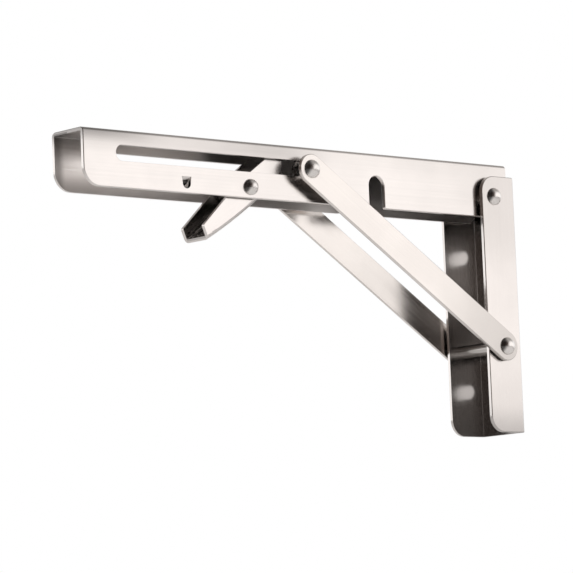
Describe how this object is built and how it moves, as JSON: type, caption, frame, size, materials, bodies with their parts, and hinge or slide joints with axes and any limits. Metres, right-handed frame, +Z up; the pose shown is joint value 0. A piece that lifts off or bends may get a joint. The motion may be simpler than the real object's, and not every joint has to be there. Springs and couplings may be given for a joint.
{
  "type": "drop leaf table bracket",
  "caption": "Folding wall bracket for a drop leaf: a channel arm hinged in a wall channel, held up by two struts whose pin rides in slots, with a sprung release lever under the arm.",
  "frame": {"origin": "on the wall plane, midway between the two wall screw slots", "axes": "+X out of the wall along the open arm, +Y across the bracket, +Z up towards the leaf"},
  "size_m": [0.3, 0.0476, 0.1495],
  "materials": {
    "steel_sheet": "bright rolled stainless sheet, folded and pressed",
    "rivet_steel": "smooth stainless rivets, tubes and washers",
    "spring_wire": "drawn spring wire"
  },
  "bodies": {
    "wall": {"wall_bracket": "steel_sheet", "hinge_rivet": "rivet_steel", "foot_rivet": "rivet_steel", "foot_tube": "rivet_steel", "hinge_washer_left": "rivet_steel", "hinge_washer_right": "rivet_steel", "foot_washer_left": "rivet_steel", "foot_washer_right": "rivet_steel"},
    "arm": {"shelf_arm": "steel_sheet", "hinge_tube": "rivet_steel", "lever_rivet": "rivet_steel", "lever_tube": "rivet_steel", "lever_washer_left": "rivet_steel", "lever_washer_right": "rivet_steel"},
    "struts": {"strut_left": "steel_sheet", "strut_right": "steel_sheet", "cross_pin_head_left": "rivet_steel", "cross_pin_head_right": "rivet_steel"},
    "pin": {"cross_pin_shoulder_left": "rivet_steel", "cross_pin_shoulder_right": "rivet_steel"},
    "lever": {"release_lever": "steel_sheet", "lever_spring": "spring_wire"}
  },
  "joints": [
    {"name": "arm_fold", "type": "hinge", "parent": "wall", "child": "arm", "pos_m": [0.0163, 0, 0.0667], "axis": [0, 1, 0], "range_deg": [0, 90]},
    {"name": "strut_swing", "type": "hinge", "parent": "wall", "child": "struts", "pos_m": [0.0146, 0, -0.0168], "axis": [0, 1, 0], "range_deg": [0, 120.23]},
    {"name": "pin_slide", "type": "slide", "parent": "arm", "child": "pin", "axis": [1, 0, 0], "range_m": [0, 0.11135]},
    {"name": "lever_press", "type": "hinge", "parent": "arm", "child": "lever", "pos_m": [0.1901, 0, 0.0614], "axis": [0, -1, 0], "range_deg": [0, 40], "stiffness_Nm_per_rad": 0.3, "springref_deg": -20.05, "deforming": ["lever_spring"]}
  ],
  "couplings": [
    {"joint": "strut_swing", "follows": "arm_fold", "ratio": 1.3358},
    {"joint": "pin_slide", "follows": "arm_fold", "m_per_rad": 0.07088}
  ]
}
